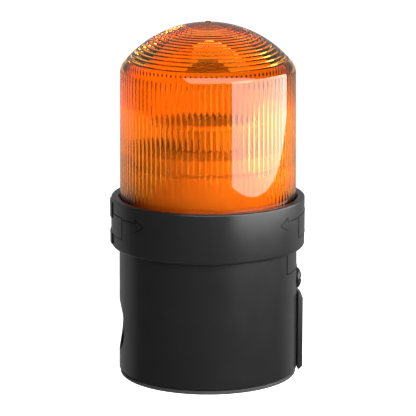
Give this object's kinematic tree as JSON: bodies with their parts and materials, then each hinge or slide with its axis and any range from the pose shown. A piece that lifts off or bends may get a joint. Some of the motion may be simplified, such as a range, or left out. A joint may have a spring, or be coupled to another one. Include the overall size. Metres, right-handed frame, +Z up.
{
  "type": "warning beacon",
  "caption": "Round amber warning beacon: fluted domed lens held on a black cylindrical base by a twist-lock collar, with a plug-in light unit inside.",
  "frame": {"origin": "centre of the underside of the mounting gasket", "axes": "+Z up through the lens; -Y is the front; the cable entry is on -X and the entry cover on +X"},
  "size_m": [0.0708, 0.07, 0.1285],
  "materials": {
    "housing_plastic": "satin black moulded plastic",
    "collar_plastic": "satin black moulded plastic",
    "cover_plastic": "satin black moulded plastic",
    "amber_lens": "clear amber moulded plastic, fluted inside",
    "seal_rubber": "soft black rubber",
    "plate_plastic": "matt dark grey moulded plastic",
    "deck_plastic": "matt grey moulded plastic",
    "unit_plastic": "matt white moulded plastic",
    "cap_plastic": "matt light grey moulded plastic",
    "zinc_steel": "bright zinc plate",
    "black_steel": "black zinc plate",
    "brass": "bright brass",
    "aluminium": "milled aluminium",
    "circuit_board": "green solder mask",
    "light_board": "white solder mask",
    "capacitor_sleeve": "dark blue sleeve",
    "red_insulation": "red wire insulation",
    "black_insulation": "black wire insulation"
  },
  "bodies": {
    "base": {"base_housing": "housing_plastic", "mounting_gasket": "seal_rubber", "base_plate": "plate_plastic", "plate_screw_1": "zinc_steel", "plate_screw_2": "zinc_steel", "plate_screw_3": "zinc_steel", "side_screw": "black_steel", "side_screw_nut": "zinc_steel", "neck_seal": "seal_rubber", "contact_deck": "deck_plastic", "deck_screw_1": "zinc_steel", "deck_screw_2": "zinc_steel", "deck_screw_3": "zinc_steel", "socket_contact_1": "brass", "socket_contact_2": "brass", "terminal_block": "deck_plastic", "terminal_clamp_1": "brass", "terminal_clamp_2": "brass", "terminal_clamp_3": "brass", "terminal_screw_1": "zinc_steel", "terminal_screw_2": "zinc_steel", "terminal_screw_3": "zinc_steel", "lead_wire_1": "red_insulation", "lead_wire_2": "black_insulation"},
    "lens": {"lens_dome": "amber_lens"},
    "collar": {"locking_collar": "collar_plastic"},
    "light_unit": {"led_unit_base": "unit_plastic", "plug_pin_1": "brass", "plug_pin_2": "brass", "driver_board": "circuit_board", "driver_capacitor": "capacitor_sleeve", "led_post": "aluminium", "led_cap": "cap_plastic", "led_cap_screw": "zinc_steel", "led_board_1": "light_board", "led_board_2": "light_board", "led_board_3": "light_board", "led_board_4": "light_board", "led_board_5": "light_board", "led_board_6": "light_board"},
    "cover": {"entry_cover": "cover_plastic", "entry_cover_seal": "seal_rubber"}
  },
  "joints": [
    {"name": "lens_lift", "type": "slide", "parent": "base", "child": "lens", "axis": [0, 0, 1], "range_m": [0, 0.003]},
    {"name": "collar_twist", "type": "hinge", "parent": "lens", "child": "collar", "pos_m": [0, 0, 0.057], "axis": [0, 0, 1], "range_deg": [0, 45]},
    {"name": "light_unit_lift", "type": "slide", "parent": "base", "child": "light_unit", "axis": [0, 0, 1], "range_m": [0, 0.012]},
    {"name": "entry_cover_pull", "type": "slide", "parent": "base", "child": "cover", "axis": [1, 0, 0], "range_m": [0, 0.006]}
  ],
  "couplings": [
    {"joint": "lens_lift", "follows": "collar_twist", "m_per_rad": 0.0038}
  ]
}
